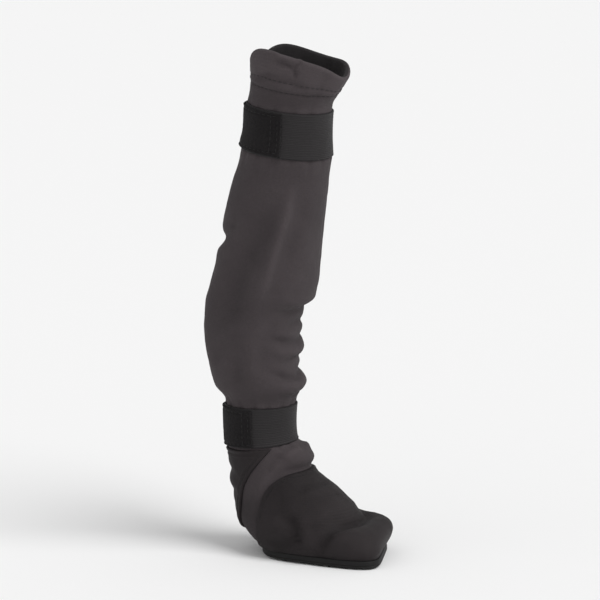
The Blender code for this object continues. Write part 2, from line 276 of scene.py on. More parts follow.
def skin(t, angle):
    """The sleeve's outer surface, with its large folds."""
    row = section_at(t)
    forward, left = math.cos(angle), math.sin(angle)
    square = row.heel_square + (row.toe_square - row.heel_square) * (0.5 + 0.5 * forward)
    along = 0.5 + 0.5 * power(forward, 2 / square)
    across = power(left, 2 / square) * (1 + row.ball * (2 * along - 1))
    length = row.front_x - row.back_x
    x = row.back_x + length * along
    z = row.back_z + (row.front_z - row.back_z) * along
    z += sole_lift(x) * (1 - ease(t / ROW["vamp"]))
    sides = RIM_SIDES * (1 - RIM_LEAN * left) * (1 - forward**RIM_DIP)
    z += ease(t - LAST_ROW + 1) * (RIM_WAVE * math.sin(RIM_WAVES * angle + RIM_TURN) + sides)
    y = row.half_width * across
    x -= toe_skew(x, z) * y
    out = Vector(((2 * along - 1) / length, across / (2 * row.half_width))).normalized()
    out *= fold_out(z, angle)
    return Vector((x + out.x, y + out.y, z))


def normal(t, angle):
    """The outward direction of the sleeve's outer surface."""
    step = 0.04
    round_leg = skin(t, angle + step) - skin(t, angle - step)
    up = skin(min(t + step, LAST_ROW), angle) - skin(max(t - step, 0.0), angle)
    return round_leg.cross(up).normalized()


def halving(low, high, is_past):
    """The place between two where is_past(place) turns true."""
    for _ in range(18):
        place = (low + high) / 2
        low, high = (low, place) if is_past(place) else (place, high)
    return (low + high) / 2


def on_leg(height, turn):
    """The point of the sleeve at a height and a turn round the leg, above the instep."""
    angle = math.radians(turn)
    return skin(halving(ROW["vamp"], LAST_ROW, lambda t: skin(t, angle).z >= height), angle)


# Creases and soft ridges, listed one by one: the places that each runs through, as (height, turn), half
# its width, and how far it stands out, negative for a trough. The foot's are given as (x, y, z).
Crease = namedtuple("Crease", "name path width out")
LEG_CREASES = [Crease(*row) for row in (
    ("front pucker 1", ((82, -46), (80, -20), (81.5, 16), (80.5, 52)), 1.5, -0.8),
    ("front pucker 2", ((93.5, -52), (91, -30), (89.5, -6), (92.5, 30), (91, 62)), 1.9, -1.5),
    ("front pucker 3", ((97.5, -30), (99.5, -2), (98, 34), (101.5, 66)), 1.4, -1),
    ("front pucker 4", ((111, -50), (108.5, -30), (107, -4), (110.5, 32), (109.5, 60)), 2.1, -1.5),
    ("front pucker 5", ((116.5, -28), (118, 2), (116, 38), (121, 70)), 1.5, -1),
    ("under the lip", ((126, -52), (124, -28), (124.5, 4), (124, 38), (127.5, 66)), 1.8, -0.9),
    ("front roll 1", ((87, -54), (85.5, -25), (86, 25), (88, 62)), 2.6, 0.7),
    ("front roll 2", ((97, -54), (95, -25), (95.2, 25), (98, 60)), 2.2, 0.5),
    ("front roll 3", ((105.5, -54), (103.5, -28), (103.5, 20), (106, 62)), 2.8, 0.8),
    ("front roll 4", ((114, -50), (112.5, -20), (113, 24), (116.5, 60)), 2.2, 0.5),
    ("lip", ((131.5, -60), (129.5, -30), (129, 0), (130, 34), (133, 66)), 3, 0.6),
    ("near fan 1", ((112, -80), (105, -106), (95, -132)), 3.6, -0.7),
    ("near fan 2", ((126, -84), (118, -110), (108, -142)), 4.2, -0.6),
    ("near fan 3", ((95, -82), (88, -104), (80, -128)), 2.8, -0.6),
    ("near ridge", ((190, 303), (172, 299), (156, 293), (140, 290), (124, 288)), 2.5, 2.3),
    ("near hollow", ((186, 285), (162, 276), (138, 262), (114, 264)), 6.5, -1.8),
    ("near front hollow", ((186, 324), (160, 314), (138, 306)), 4, -0.7),
    ("near calf ridge", ((142, 222), (122, 215), (102, 222), (86, 238)), 4.5, 0.9),
    ("near wrist ridge", ((122, 302), (111, 291), (99, 287), (86, 292)), 3.4, 0.8),
    ("near wrist hollow", ((104, 262), (91, 268), (79, 262)), 3.2, -0.8),
    ("back notch, right", ((157, 176), (158.5, 200), (164, 228), (175, 252)), 2.8, -1.2),
    ("back notch, left", ((157, 184), (159, 162), (165, 138)), 2.6, -1.1),
    ("back roll, right", ((151, 184), (152.5, 208), (158, 236)), 3.8, 0.8),
    ("far ridge", ((192, 68), (166, 64), (140, 75), (122, 72)), 4.2, 1.1),
    ("far hollow", ((180, 104), (152, 116), (124, 108)), 6.5, -1.2),
    ("far strap crease", ((200, 96), (188, 93), (175, 97)), 2, -1.3),
    ("far calf ridge", ((136, 142), (118, 134), (98, 140), (86, 132)), 4.2, 0.9),
    ("far wrist hollow", ((112, 96), (98, 104), (82, 98)), 4, -0.8),
    ("collar tuck", ((240, 228), (243.5, 254), (240, 284), (235, 308)), 1.6, -1.1),
    ("collar pinch, back", ((250.8, 262), (249.6, 273), (247, 283), (244, 287), (240.5, 290)), 1.2, -1.5),
    ("collar pinch, front", ((253, 293), (250, 290), (247, 283)), 1.1, -1.3),
    ("collar pinch roll", ((253.4, 263), (253, 279)), 1.7, 1.2),
    ("collar tuck roll", ((244.5, 236), (247, 258), (244, 288)), 2.2, 0.6),
    ("collar ripple 1", ((228, 318), (238, 322), (248, 326)), 2.8, -0.7),
    ("collar ripple 2", ((229, 345), (237, 350), (243, 352)), 3, 0.6),
    ("collar ripple 3", ((229, 24), (236, 28), (243, 30)), 2.8, -0.7),
    ("collar ripple 4", ((229, 66), (240, 70), (250, 72)), 3.2, 0.7),
    ("collar ripple 5", ((229, 112), (240, 116), (250, 120)), 3, -0.8),
    ("collar ripple 6", ((229, 160), (240, 158), (250, 156)), 3.2, 0.6),
    ("collar ripple 7", ((229, 204), (240, 208), (249, 210)), 2.6, -0.6),
)]
FOOT_CREASES = [Crease(*row) for row in (
    ("toe bend", ((56, -27, 5), (58, -26.5, 9), (62, -23, 15.5), (67, -13, 18.5),
        (70, -2, 19), (69, 9, 19), (64, 18, 17), (57, 25, 8)), 2.6, -2.4),
    ("toe bend roll", ((47, -23, 19), (55, -17, 23), (60, -7, 25), (61, 5, 25), (56, 16, 22)), 4, 0.9),
    ("toe box roll", ((64, -26, 10), (70, -20, 15.5), (75, -9, 17), (76, 5, 17), (71, 16, 15)), 3.2, 0.6),
    ("near dimple", ((46, -26.5, 9), (44.5, -26, 14), (42, -24, 19), (39, -21, 24)), 3.2, -2.2),
    ("near dimple roll", ((52, -27, 8), (51, -26, 13), (50.5, -23, 18.5)), 2.4, 0.9),
    ("near side roll", ((30, -23, 20), (35, -24, 17), (37, -25, 12)), 3.2, 0.8),
    ("near side hollow", ((26, -24, 9.5), (36, -26, 9.5), (46, -27, 9)), 2.6, -0.8),
    ("far dimple", ((45, 26, 12), (44, 24, 19), (46, 21, 24)), 3, -1.2),
    ("far side hollow", ((28, 24, 9.5), (40, 26, 10), (50, 27, 9)), 3, -0.8),
    ("vamp wrinkle 1", ((38, -17, 32), (45, -10, 34.5), (48.5, 0, 34.5), (45, 10, 34)), 2, -0.8),
    ("vamp wrinkle 2", ((44, -18, 26), (52, -11, 29.5), (55, -2, 29.5), (52, 9, 29)), 2.2, -0.6),
    ("vamp roll", ((40, -17.5, 29.5), (48, -10, 32), (52, 0, 32), (48, 10, 31.5)), 2.4, 0.5),
    ("under the puff",
        ((31, -15.5, 43.5), (38, -9, 44), (42, -1, 44), (39, 8, 44), (32, 15, 43.5)), 1.5, -0.9),
    ("puff ridge, near", ((38.5, -3, 55), (36, -9, 52.5), (32, -13.5, 48)), 2.2, 1.4),
    ("puff ridge, far", ((38.5, 3, 55), (36, 9, 52.5), (32, 13.5, 48)), 2.2, 1.2),
    ("gore ridge, near", ((33, -14, 48), (28, -16, 43), (22.5, -17.5, 35), (20, -20, 24)), 2.6, 0.7),
    ("gore ridge, far", ((33, 14, 48), (28, 16, 43), (22.5, 17.5, 35), (20, 20, 24)), 2.6, 0.7),
    ("gore crease, near", ((31, -12.5, 52), (27.5, -15.5, 47), (25, -17, 41)), 1.5, -0.7),
    ("gore crease, far", ((31, 12.5, 52), (27.5, 15.5, 47), (25, 17, 41)), 1.5, -0.7),
    ("heel wrinkle 1", ((9, -15, 38), (2.5, -8, 41), (1.3, 0, 41.5), (2.5, 8, 41), (9, 15, 39)), 2.2, -0.9),
    ("heel wrinkle 2",
        ((11, -17, 28), (4.5, -10, 30), (2.9, 0, 31), (4.5, 10, 30), (10, 16, 28)), 2.4, -0.6),
    ("heel roll", ((9, -16, 33), (3, -8, 35.5), (2.3, 0, 36), (3, 8, 35.5), (9, 16, 33)), 2.6, 0.6),
)]

# Short pleats where a strap draws the sleeve in, by the strap's edge: the turn, how far up the pleat
# reaches from the edge and how deep it is
PLEATS = {
    "over ankle": (
        (14, 8, 0.9), (41, 7, 0.7), (68, 11, 1), (96, 8, 0.8), (124, 12, 1.1), (150, 8, 0.8), (181, 10, 1),
        (209, 8, 0.9), (233, 12, 1.1), (258, 8, 0.9), (280, 11, 1.1), (303, 8, 0.8), (329, 7, 0.9),
        (351, 9, 0.8),
    ),
    "under ankle": ((18, -6, 0.7), (40, -8, 0.8), (320, -8, 0.9), (339, -6, 0.7)),
    "under top": (
        (9, -10, 0.7), (36, -8, 0.6), (62, -14, 0.9), (120, -12, 0.8), (146, -8, 0.7), (172, -14, 1),
        (204, -10, 0.8), (229, -15, 0.9), (254, -9, 0.7), (276, -16, 1), (296, -8, 0.6), (322, -12, 0.8),
        (344, -8, 0.6),
    ),
    "over top": (
        (20, 7, 0.6), (52, 8, 0.8), (88, 6, 0.6), (134, 8, 0.8), (176, 7, 0.7), (222, 8, 0.8), (246, 6, 0.6),
        (270, 9, 0.9), (296, 7, 0.6), (322, 8, 0.8),
    ),
}
STRAP_EDGES = {
    "under ankle": ANKLE_ROWS[0], "over ankle": ANKLE_ROWS[1],
    "under top": TOP_ROWS[0], "over top": TOP_ROWS[1],
}
PLEAT_WIDTH, PLEAT_START = 1.5, 3.0  # it starts under the strap
SWELL_OUT, SWELL_WIDTH = 0.9, 0.32  # the width in rows
UNEVEN = ((0.32, 0.085), (0.14, 0.23), (0.05, 0.7))  # how deep the cloth's unevenness is, and how close
CREASE_STEP = 0.5  # between the samples along a crease
CREASE_REACH = 2.4  # widths to each side, past which it is too faint to matter
FADE, PLEAT_FADE = 0.28, 0.7  # share of its length over which each end fades
HEAD_START = 0.15  # how much of that fade its first end skips
HELD_PAST, HELD_FADE = 0.02, 0.12  # rows outside a strap's edge where it starts to hold, and to full hold


def sampled(path):
    """Closely placed points along a smooth curve through a few."""
    length = sum((b - a).length for a, b in zip(path, path[1:]))
    count = max(int(length / CREASE_STEP), 8)
    columns = list(zip(*path))
    places = [(len(path) - 1) * i / count for i in range(count + 1)]
    return [Vector([curve(column, place) for column in columns]) for place in places]


def search_tree(points):
    tree = kdtree.KDTree(len(points))
    for index, point in enumerate(points):
        tree.insert(point, index)
    tree.balance()
    return tree


def crease_tree(path, onto=lambda point: point):
    """A crease's search tree and last index, and its lowest and highest z."""
    points = [onto(point) for point in sampled(path)]
    heights = [point.z for point in points]
    return search_tree(points), len(points) - 1, min(heights), max(heights)


foot_places = [
    (t, 2 * math.pi * i / 150) for t in (ROW["ankle strap"] * k / 80 for k in range(81)) for i in range(150)
]
foot_tree = search_tree([skin(*place) for place in foot_places])


def onto_foot(point):
    """A point near the foot moved square onto its surface."""
    nearest, index, _ = foot_tree.find(point)
    out = normal(*foot_places[index])
    return point - out * (point - nearest).dot(out)


creases = []
for crease in LEG_CREASES:
    route = [on_leg(height, turn) for height, turn in crease.path]
    creases.append((*crease_tree(route), crease.width, crease.out, FADE))
for crease in FOOT_CREASES:
    route = [Vector(place) for place in crease.path]
    creases.append((*crease_tree(route, onto_foot), crease.width, crease.out, FADE))
for edge_name, pleats in PLEATS.items():
    for turn, reach, depth in pleats:
        edge = skin(STRAP_EDGES[edge_name], math.radians(turn)).z
        under_strap = edge - math.copysign(PLEAT_START, reach)
        route = [on_leg(height, turn) for height in (under_strap, edge, edge + reach)]
        creases.append((*crease_tree(route), PLEAT_WIDTH, -depth, PLEAT_FADE))


def held_down(t):
    """0 where a strap holds the sleeve down, 1 away from both, and a quick rise at a strap's edges."""
    free = 1.0
    for first, last in (ANKLE_ROWS, TOP_ROWS):
        below, above = (t - first + HELD_PAST) / HELD_FADE, (last - t + HELD_PAST) / HELD_FADE
        free *= 1 - ease(below) * ease(above)
    return free


def swell(t):
    """The soft roll that the sleeve makes just outside each edge of a strap."""
    return sum(SWELL_OUT * math.exp(-(((t - edge) / SWELL_WIDTH) ** 2)) for edge in STRAP_EDGES.values())


def crumple(t, point):
    """How far the listed creases and the cloth's own unevenness move the surface at a point."""
    out = swell(t) + sum(deep * noise.noise(point * close) for deep, close in UNEVEN)
    for tree, last, lowest, highest, width, depth, fade in creases:
        reach = CREASE_REACH * width
        if lowest - reach < point.z < highest + reach:
            _, index, distance = tree.find(point)
            if distance < reach:
                share = index / last
                ends = ease(share / fade + HEAD_START) * ease((1 - share) / fade)
                out += depth * ends * math.exp(-((distance / width) ** 2))
    return out * held_down(t)


def cloth(t, angle, out):
    """A point at a distance out from the crumpled sleeve, and how far the crumple moves it."""
    point = skin(t, angle)
    moved = crumple(t, point)
    return point + normal(t, angle) * (moved + out), moved


def spaced(start, end, count):
    """count + 1 values from start to end."""
    return [start + (end - start) * i / count for i in range(count + 1)]


def spaced_rows(start, end, step):
    """Rows from start to end, about step mm apart up the leg."""
    fine = spaced(start, end, 400)
    risen = [0.0]
    for a, b in zip(fine, fine[1:]):
        steps = [(skin(b, angle) - skin(a, angle)).length for angle in (0.0, math.pi / 2, math.pi)]
        risen.append(risen[-1] + sum(steps) / len(steps))
    count = max(round(risen[-1] / step), 1)
    rows, k = [], 0
    for target in spaced(0.0, risen[-1], count):
        while k < len(risen) - 2 and risen[k + 1] < target:
            k += 1
        part = (target - risen[k]) / (risen[k + 1] - risen[k])
        rows.append(fine[k] + (fine[k + 1] - fine[k]) * part)
    return rows


def drape(columns, rows, surface, inside_from=None):
    """A bmesh grid of cloth with surface(column, row), which gives (point, crumple), at each crossing.

    Its UV map, cloth, is in mm along the cloth. Edges that meet are joined, and the faces of rows from
    inside_from on have the second material.
    """
    mesh = bmesh.new()
    uv = mesh.loops.layers.uv.new("cloth")
    # Each vertex keeps its crumple, by which the cloth's material paints the troughs darker with painted
    # shade and the ridges paler with wear and painted light
    crumpled = mesh.verts.layers.float.new("crumple")
    bmesh.ops.create_grid(mesh, x_segments=len(columns) - 1, y_segments=len(rows) - 1, size=0.5)
    place = {
        vert: (round((vert.co.x + 0.5) * (len(columns) - 1)), round((vert.co.y + 0.5) * (len(rows) - 1)))
        for vert in mesh.verts
    }
    points = {}
    for vert, (i, j) in place.items():
        points[i, j], vert[crumpled] = surface(columns[i], rows[j])
        vert.co = (points[i, j] - Vector((HEEL_TO_ORIGIN, 0, 0))) * MM
    across, up = [0.0], [0.0]
    for i in range(1, len(columns)):
        j = len(rows) // 3
        across.append(across[-1] + (points[i, j] - points[i - 1, j]).length)
    for j in range(1, len(rows)):
        up.append(up[-1] + (points[0, j] - points[0, j - 1]).length)
    for face in mesh.faces:
        face.smooth = True
        for loop in face.loops:
            i, j = place[loop.vert]
            loop[uv].uv = (across[i], up[j])
        if inside_from is not None and min(place[vert][1] for vert in face.verts) >= inside_from:
            face.material_index = 1
    bmesh.ops.remove_doubles(mesh, verts=mesh.verts, dist=1e-7)
    return mesh


def make_piece(name, mesh, slot, *materials):
    """An object from a bmesh, which rides on the sock and takes its finish from the materials given. slot is
    not used.
    """
    data = bpy.data.meshes.new(name)
    mesh.to_mesh(data)
    mesh.free()
    for material in materials:
        data.materials.append(material)
    piece = bpy.data.objects.new(name, data)
    scene.collection.objects.link(piece)
    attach(piece, "root")
    return piece


SEAM_TURN = math.pi
SEAM_RADIUS = 21.0  # the leg's at the seam, which turns mm into turns
SEAM_HALF, SEAM_RISE, SEAM_LINE = 1.7, 0.45, 0.3  # half its width, its height and its line's depth
HEM_ROW = LAST_ROW - 1.02  # the lower line of stitches
COLLAR_RISE = 9.5  # between the last two rows
HEM_RISE, HEM_LINE = 0.4, 0.45  # its height and its lines' depth
NEEDLE_GAP = 3.0  # between the two lines of stitches
LINE_HALF = 0.55  # half the width of a line pressed in by stitches
HEM_PAINTED_LIGHT = 2.6  # painted light: how much paler the doubled cloth above it is painted, as a fold this high would be
RIM_ROW = LAST_ROW - 0.16  # where the edge starts to turn over
COLUMNS, RIM_STEPS, OUTSIDE_STEP, INSIDE_STEP = 176, 8, 0.85, 2.0  # of the mesh, its steps in mm


def pressed_line(away, half=LINE_HALF):
    """1 in the middle of a line pressed into the cloth, and 0 well away from it."""
    return math.exp(-((away / half) ** 2))


def seam_out(t, angle):
    """The flat seam down the back: a low flat band with a line pressed in along its middle."""
    away = abs(angle - SEAM_TURN) * SEAM_RADIUS
    return SEAM_RISE * (1 - ease(away - SEAM_HALF + 0.5)) - SEAM_LINE * pressed_line(away, 0.4)


def hem_out(t):
    """The hem: a low roll between two lines pressed in by the stitches."""
    mm = (t - HEM_ROW) * COLLAR_RISE
    return HEM_RISE * ease(mm / 1.2) - HEM_LINE * (pressed_line(mm) + pressed_line(mm - NEEDLE_GAP))


def sleeve_wall(t):
    return SLEEVE_WALL + (HEM_WALL - SLEEVE_WALL) * ease((t - HEM_ROW) * 6)


def sleeve_surface(angle, row):
    """The sleeve at (t, side): side runs from 0, outside, over the rim to 1, inside."""
    t, side = row
    # Past the hem the crumple carries painted light, which pales the collar and its rim
    if 0 < side < 1:
        inner, moved = cloth(RIM_ROW, angle, -sleeve_wall(RIM_ROW))
        outer, _ = cloth(RIM_ROW, angle, seam_out(t, angle) + hem_out(RIM_ROW))
        up = (skin(RIM_ROW + 0.1, angle) - skin(RIM_ROW - 0.1, angle)).normalized()
        turn = math.pi * side
        centre, half = (inner + outer) / 2, (outer - inner) / 2
        point = centre + half * math.cos(turn) + up * (half.length * math.sin(turn))
        return point, moved + HEM_PAINTED_LIGHT
    out = -sleeve_wall(t) if side else seam_out(t, angle) * held_down(t) + hem_out(t)
    point, moved = cloth(t, angle, out)
    return point, moved + HEM_PAINTED_LIGHT * ease((t - HEM_ROW) * 2)


columns = spaced(0.0, 2 * math.pi, COLUMNS)
outside = [(t, 0.0) for t in spaced_rows(0.0, RIM_ROW, OUTSIDE_STEP)]
rim = [(RIM_ROW, side) for side in spaced(0.0, 1.0, RIM_STEPS)[1:-1]]
inside = [(t, 1.0) for t in reversed(spaced_rows(0.0, RIM_ROW, INSIDE_STEP))]
rows = outside + rim + inside + outside[:1]
sleeve_mesh = drape(columns, rows, sleeve_surface, inside_from=len(outside) + len(rim) // 2)


def maths(tree, operation, *values):
    return node(tree, "Math", enumerate(values), operation=operation).outputs[0]


def scaled(tree, colour, factor):
    return node(tree, "VectorMath", {0: colour, "Scale": factor}, operation="SCALE").outputs["Vector"]


def blend(tree, share, first, second):
    """The colour at a share of the way from the first to the second."""
    return node(tree, "Mix", {0: share, 6: first, 7: second}, data_type="RGBA").outputs[2]


def cloudy(tree, where, scale, detail, roughness=0.5):
    """Soft random clouds with values from 0 to 1."""
    sizes = {"Vector": where, "Scale": scale, "Detail": detail, "Roughness": roughness}
    return node(tree, "TexNoise", sizes).outputs["Fac"]


def hump(tree, value):
    """A half sine over each whole number that a value runs through."""
    return maths(tree, "SINE", maths(tree, "MULTIPLY", maths(tree, "FRACT", value), math.pi))


def new_group(name, inputs, outputs):
    """A shader node group. Its sockets are given by type, or its float inputs by their first value."""
    group = bpy.data.node_groups.new(name, "ShaderNodeTree")
    for label, given in inputs.items():
        kind = given if isinstance(given, str) else "Float"
        socket = group.interface.new_socket(label, in_out="INPUT", socket_type="NodeSocket" + kind)
        if kind != given:
            socket.default_value = given
    for label, kind in outputs.items():
        group.interface.new_socket(label, in_out="OUTPUT", socket_type="NodeSocket" + kind)
    given, puts = group.nodes.new("NodeGroupInput").outputs, group.nodes.new("NodeGroupOutput").inputs
    return group, given, puts, partial(maths, group)


# Knit: columns of V-shaped loops, from a vector in mm
knit_loops, given, puts, do = new_group(
    "knit_loops", {"Cloth": "Vector", "Wale": 1.1, "Course": 0.9}, {"Height": "Float"}
)
xyz = node(knit_loops, "SeparateXYZ", {0: given["Cloth"]}).outputs
wale = do("FRACT", do("DIVIDE", xyz["X"], given["Wale"]))
leg = do("ABSOLUTE", do("MULTIPLY_ADD", wale, 2.0, -1.0))
strand = hump(knit_loops, do("MULTIPLY_ADD", leg, 0.9, do("DIVIDE", xyz["Y"], given["Course"])))
limb = do("SINE", do("MULTIPLY", leg, math.pi))
knit_loops.links.new(do("MULTIPLY", limb, do("MULTIPLY_ADD", strand, 0.5, 0.5)), puts["Height"])

# Worn and shaded cloth: its colour drifts over a few centimetres, the stored crumple paints the raised folds
# paler, as wear and painted light, and the troughs darker, as painted shade, and single fibres vary
worn_and_shaded_cloth, given, puts, do = new_group(
    "worn_and_shaded_cloth",
    {"Colour": "Color", "Worn and lit": "Color", "Drift": 0.25, "Fibre": 0.2},
    {"Colour": "Color", "Fuzz": "Float"},
)
where = node(worn_and_shaded_cloth, "TexCoord").outputs["Object"]
fold_wear_and_shade = node(worn_and_shaded_cloth, "Attribute", attribute_name="crumple").outputs["Fac"]
drift = do("SUBTRACT", cloudy(worn_and_shaded_cloth, where, 38.0, 3.0, 0.55), 0.5)
# Painted shade darkens the troughs, and the raised folds are paler, partly wear and partly painted light
worn_and_lit = do("MULTIPLY_ADD", drift, given["Drift"], do("MULTIPLY_ADD", fold_wear_and_shade, 0.16, 0.4))
worn_and_lit = node(worn_and_shaded_cloth, "Clamp", {0: worn_and_lit}).outputs[0]
colour = blend(worn_and_shaded_cloth, worn_and_lit, given["Colour"], given["Worn and lit"])
fibre = cloudy(worn_and_shaded_cloth, where, 1500.0, 2.0, 0.7)
grain = do("MULTIPLY_ADD", do("SUBTRACT", fibre, 0.5), given["Fibre"], 1.0)
worn_and_shaded_cloth.links.new(scaled(worn_and_shaded_cloth, colour, grain), puts["Colour"])
worn_and_shaded_cloth.links.new(fibre, puts["Fuzz"])


def raise_up(tree, shader, height, depth):
    """Bumps the shader's surface by a height of 0 to 1, depth metres deep."""
    bump = node(tree, "Bump", {"Height": height, "Distance": depth, "Strength": 1.0})
    tree.links.new(bump.outputs["Normal"], shader.inputs["Normal"])


def cloth_material(name, pattern, sizes, colours, light, relief, finish, adjust=None):
    """Worn and shaded cloth with a pattern, a group that reads the cloth's UV map in mm and puts out its
    height.

    colours are the worn and shaded cloth's inputs, light is (the pattern's share of the light on it, the
    rest), relief is in metres and finish is (roughness, sheen, specular). adjust(tree, made, shade, lit)
    gives what lights it and its height, where that isn't just the pattern.
    """
    roughness, sheen, specular = finish
    material, tree, shader = new_material(name, roughness, specular)
    shader.inputs["Sheen Weight"].default_value = sheen
    shader.inputs["Sheen Roughness"].default_value = 0.55
    along_cloth = node(tree, "UVMap", uv_map="cloth").outputs["UV"]
    made = node(tree, "Group", {"Cloth": along_cloth, **sizes}, node_tree=pattern).outputs
    shade = node(tree, "Group", enumerate(colours), node_tree=worn_and_shaded_cloth).outputs
    lit, height = maths(tree, "MULTIPLY_ADD", made["Height"], *light), made["Height"]
    if adjust:
        lit, height = adjust(tree, made, shade, lit)
    tree.links.new(scaled(tree, shade["Colour"], lit), shader.inputs["Base Color"])
    raise_up(tree, shader, height, relief)
    return material


def brushed(tree, made, shade, lit):
    """Brushed knit: its fuzz stands out between the loops, and it is darker low on the foot."""
    height = node(tree, "SeparateXYZ", {0: node(tree, "TexCoord").outputs["Object"]}).outputs["Z"]
    ramp = {"Value": height, "From Min": 0.022, "From Max": 0.037, "To Min": 0.66}
    darker_low = node(tree, "MapRange", ramp, interpolation_type="SMOOTHSTEP").outputs["Result"]
    lit = maths(tree, "MULTIPLY", lit, darker_low)
    return lit, maths(tree, "MULTIPLY_ADD", shade["Fuzz"], 0.6, made["Height"])


def knit_material(name, colour, worn_and_lit, wale, course, roughness):
    return cloth_material(
        name, knit_loops, {"Wale": wale, "Course": course}, (colour, worn_and_lit, 0.9, 0.5),
        light=(0.3, 0.76), relief=0.00011, finish=(roughness, 0.03, 0.12), adjust=brushed,
    )


charcoal_knit = knit_material(
    "charcoal_knit", (0.0460, 0.0384, 0.0408, 1), (0.0792, 0.0662, 0.0700, 1), wale=1.1, course=0.85,
    roughness=0.78,
)
knit_inside = knit_material(
    "knit_inside", (0.020, 0.018, 0.0187, 1), (0.034, 0.031, 0.032, 1), wale=0.8, course=0.7, roughness=0.88
)
sleeve = make_piece("knitted_sleeve", sleeve_mesh, "charcoal_knit", charcoal_knit, knit_inside)
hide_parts("sleeve_upper")

# --- Sewing thread ---
# Twin rows of stitches hold the hem, a zigzag lies over the flat back seam, and single rows go round
# the panels and the tabs. Each stitch is a short bead of spun thread, half sunk in the cloth.

THREAD_RADIUS = 0.24
STITCH, STITCH_GAP = 2.1, 0.7
ON_HEM, ON_SEAM, ON_CLOTH = 0.12, 0.42, 0.05  # how far out a stitch's middle lies
ZIGZAG_HALF, ZIGZAG_STEP = 1.0, 0.075  # half its width, and the rows between its corners


def sew(mesh, route, stitch=STITCH, gap=STITCH_GAP, radius=THREAD_RADIUS):
    """Lays stitches along a route of surface points in mm, given as (point, outward direction)."""
    travelled, wanted = 0.0, gap / 2
    for (a, out), (b, _) in zip(route, route[1:]):
        step = (b - a).length
        while travelled + step > wanted + stitch / 2:
            centre = a.lerp(b, min(max((wanted + stitch / 2 - travelled) / step, 0.0), 1.0))
            along = (b - a).normalized()
            side = out.cross(along).normalized()
            turned = Matrix((along * stitch / 2, side * radius, out * radius)).transposed().to_4x4()
            turned.translation = centre - Vector((HEEL_TO_ORIGIN, 0, 0))
            bmesh.ops.create_uvsphere(
                mesh, u_segments=6, v_segments=5, radius=1.0,
                matrix=Matrix.Diagonal((MM, MM, MM, 1)) @ turned @ Matrix.Rotation(math.pi / 2, 4, "Y"),
            )
            wanted += stitch + gap
        travelled += step


def route_on(places, out):
    """A route at a distance out from the crumpled sleeve through places (t, angle)."""
    return [(cloth(t, angle, out)[0], normal(t, angle)) for t, angle in places]


def make_thread(name, mesh, slot, colour):
    for face in mesh.faces:
        face.smooth = True
    make_piece(name, mesh, slot, colour)


def thread_material(name, colour):
    """Twisted thread: fine slanting plies over a plain colour."""
    material, tree, shader = new_material(name, roughness=0.6, specular=0.25)
    wave = {"Vector": node(tree, "TexCoord").outputs["Object"], "Scale": 1400.0, "Distortion": 1.5}
    plies = node(tree, "TexWave", wave, bands_direction="DIAGONAL").outputs["Fac"]
    dark = (*(0.55 * channel for channel in colour[:3]), 1)
    tree.links.new(blend(tree, plies, dark, colour), shader.inputs["Base Color"])
    raise_up(tree, shader, plies, 0.00004)
    return material


grey_thread = thread_material("grey_thread", (0.036, 0.032, 0.033, 1))
black_thread = thread_material("black_thread", (0.020, 0.0185, 0.019, 1))

hem_thread = bmesh.new()
for lift in (0.0, NEEDLE_GAP / COLLAR_RISE):
    turn_round = [(HEM_ROW + lift, angle) for angle in spaced(0.0, 2 * math.pi, 240)]
    sew(hem_thread, route_on(turn_round, 0.5 * hem_out(HEM_ROW + lift) + ON_HEM))
for start, end in ((ROW["over ankle strap"] + 0.1, TOP_ROWS[0] - 0.1), (TOP_ROWS[1] + 0.15, HEM_ROW - 0.1)):
    places = enumerate(spaced(start, end, int((end - start) / ZIGZAG_STEP)))
    corners = [(t, SEAM_TURN + (2 * (i % 2) - 1) * ZIGZAG_HALF / SEAM_RADIUS) for i, t in places]
    for first, second in zip(corners, corners[1:]):
        points = route_on((first, second), ON_SEAM)
        sew(hem_thread, points, stitch=(points[0][0] - points[1][0]).length - 0.1, gap=0.05, radius=0.2)
make_thread("hem_and_seam_stitching", hem_thread, "charcoal_knit", grey_thread)

# --- Woven foot panels ---
# Two panels of tough plain-woven nylon over the foot: a vamp that covers the toes and instep, and a
# counter behind the heel. Their edges are turned under and topstitched, with the knit showing between.

PANEL_WALL = 1.3
PANEL_STEP = 0.7  # between the rows of a panel's mesh
SHEET_WALL = 0.25  # of a panel's or a tab's mesh, which lies on what carries it
PANEL_RISE, DOUBLED, SUNK = 1.05, 0.3, 0.05  # off the knit, more where it is doubled, and at its edge
EDGE_ROUND = 0.9
TURNED_IN = 3.4  # width of the doubled edge
STITCH_LINE, STITCH_DENT = 2.3, 0.3  # how far the stitches are from the edge, and how deep they pull
INSTEP_ROW, VAMP_RADIUS, COUNTER_RADIUS = 7.0, 19.0, 15.0  # mm a row, and what turns mm into turns

# The paler gore between the panels, in side view: where its edges with the vamp and the counter lie
GoreEdge = namedtuple("GoreEdge", "height vamp_x counter_x")
GORE = [GoreEdge(*row) for row in (
    (4, 22, 12),
    (16, 21.4, 10.2),
    (26, 22.6, 10.8),
    (34, 25.6, 12.8),
    (39, 30, 15.2),
    (42.2, 36.5, 17.2),
    (43.6, 45, 18.2),
    (56, 80, 28),
)]
PANEL_FOOT, PANEL_HEAD = 0.06, ROW["under ankle strap"] - 0.08  # the first and last rows of the panels


@lru_cache(maxsize=None)
def gore_x(field, height):
    """Where an edge of the gore lies at a height, in side view."""
    heights = [row.height for row in GORE]
    place = halving(0.0, len(GORE) - 1.0, lambda place: curve(heights, place) >= height)
    return curve([getattr(row, field) for row in GORE], place)


def is_ahead(field, t, angle):
    """Whether the skin lies ahead of an edge of the gore."""
    point = skin(t, angle)
    return point.x > gore_x(field, round(point.z, 2))


